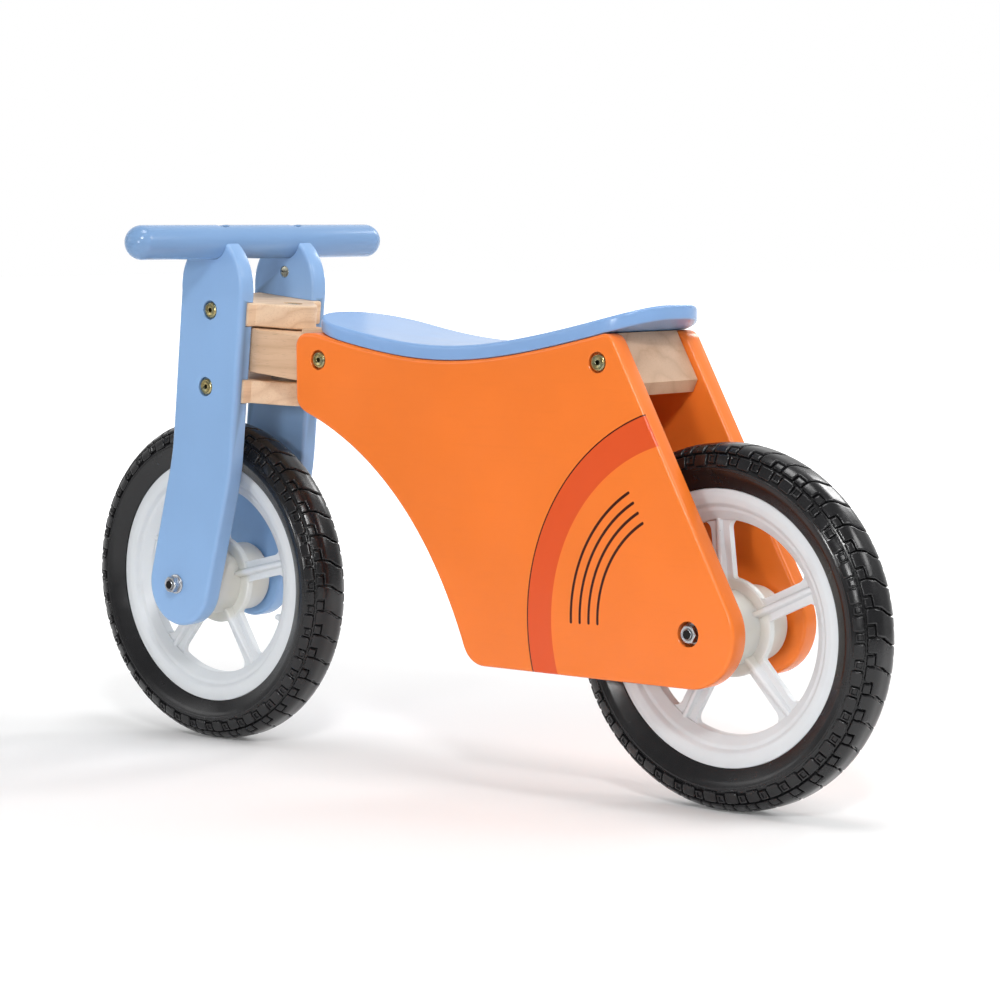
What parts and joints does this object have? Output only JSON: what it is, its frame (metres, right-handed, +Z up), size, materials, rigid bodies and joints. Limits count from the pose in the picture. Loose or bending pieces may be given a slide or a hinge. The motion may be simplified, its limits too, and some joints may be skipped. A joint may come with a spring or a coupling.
{
  "type": "balance bike",
  "caption": "Child's wooden balance bike with a raked swivel fork, bent plywood seat, round handlebar and spoked plastic wheels in rubber tyres.",
  "frame": {"origin": "on the ground, midway between the two axles, on the bike's centre plane", "axes": "+X forwards, +Y to the rider's left, +Z up"},
  "size_m": [0.8616, 0.307, 0.4641],
  "materials": {
    "blue_paint": "smooth satin light blue paint over plywood",
    "orange_paint": "smooth satin orange paint over plywood, with painted stripes",
    "natural_wood": "clear-lacquered pale hardwood with fine grain",
    "white_plastic": "moulded white plastic",
    "tyre_rubber": "moulded black rubber with block tread",
    "yellow_zinc": "yellow-passivated zinc plate",
    "bright_zinc": "bright zinc plate",
    "plain_steel": "plain turned steel",
    "nylon": "natural nylon"
  },
  "bodies": {
    "frame": {"left_side_panel": "orange_paint", "right_side_panel": "orange_paint", "head_block": "natural_wood", "rear_block": "natural_wood", "seat_board": "blue_paint", "front_panel_bolt_left": "yellow_zinc", "front_panel_bolt_right": "yellow_zinc", "front_panel_barrel_nut_left": "plain_steel", "front_panel_barrel_nut_right": "plain_steel", "rear_panel_bolt_left": "yellow_zinc", "rear_panel_bolt_right": "yellow_zinc", "rear_panel_barrel_nut_left": "plain_steel", "rear_panel_barrel_nut_right": "plain_steel", "seat_screw_front_1": "bright_zinc", "seat_screw_front_2": "bright_zinc", "seat_screw_rear_1": "bright_zinc", "seat_screw_rear_2": "bright_zinc", "head_bush_upper": "nylon", "head_bush_lower": "nylon", "rear_axle_bolt": "bright_zinc", "rear_axle_nut": "bright_zinc", "rear_spacer_left": "bright_zinc", "rear_spacer_right": "bright_zinc"},
    "fork": {"left_fork_blade": "blue_paint", "right_fork_blade": "blue_paint", "handlebar": "blue_paint", "handlebar_screw_left": "bright_zinc", "handlebar_screw_right": "bright_zinc", "handlebar_nut_left": "plain_steel", "handlebar_nut_right": "plain_steel", "upper_fork_bridge": "natural_wood", "lower_fork_bridge": "natural_wood", "upper_fork_bolt_left": "yellow_zinc", "upper_fork_bolt_right": "yellow_zinc", "upper_fork_barrel_nut_left": "plain_steel", "upper_fork_barrel_nut_right": "plain_steel", "lower_fork_bolt_left": "yellow_zinc", "lower_fork_bolt_right": "yellow_zinc", "lower_fork_barrel_nut_left": "plain_steel", "lower_fork_barrel_nut_right": "plain_steel", "pivot_bolt": "yellow_zinc", "pivot_nut": "yellow_zinc", "pivot_washer": "yellow_zinc", "thrust_washer": "nylon", "front_axle_bolt": "bright_zinc", "front_axle_nut": "bright_zinc", "front_washer_left": "bright_zinc", "front_washer_right": "bright_zinc"},
    "front_wheel": {"front_tyre": "tyre_rubber", "front_wheel_rim": "white_plastic", "front_bearing_left": "plain_steel", "front_bearing_right": "plain_steel"},
    "rear_wheel": {"rear_tyre": "tyre_rubber", "rear_wheel_rim": "white_plastic", "rear_bearing_left": "plain_steel", "rear_bearing_right": "plain_steel"}
  },
  "joints": [
    {"name": "steering", "type": "hinge", "parent": "frame", "child": "fork", "pos_m": [0.1901, 0, 0.3727], "axis": [-0.108, 0, 0.9942], "range_deg": [-30, 30]},
    {"name": "front_wheel_spin", "type": "hinge", "parent": "fork", "child": "front_wheel", "pos_m": [0.28575, 0, 0.145], "axis": [0, 1, 0], "continuous": true},
    {"name": "rear_wheel_spin", "type": "hinge", "parent": "frame", "child": "rear_wheel", "pos_m": [-0.28575, 0, 0.145], "axis": [0, 1, 0], "continuous": true}
  ]
}
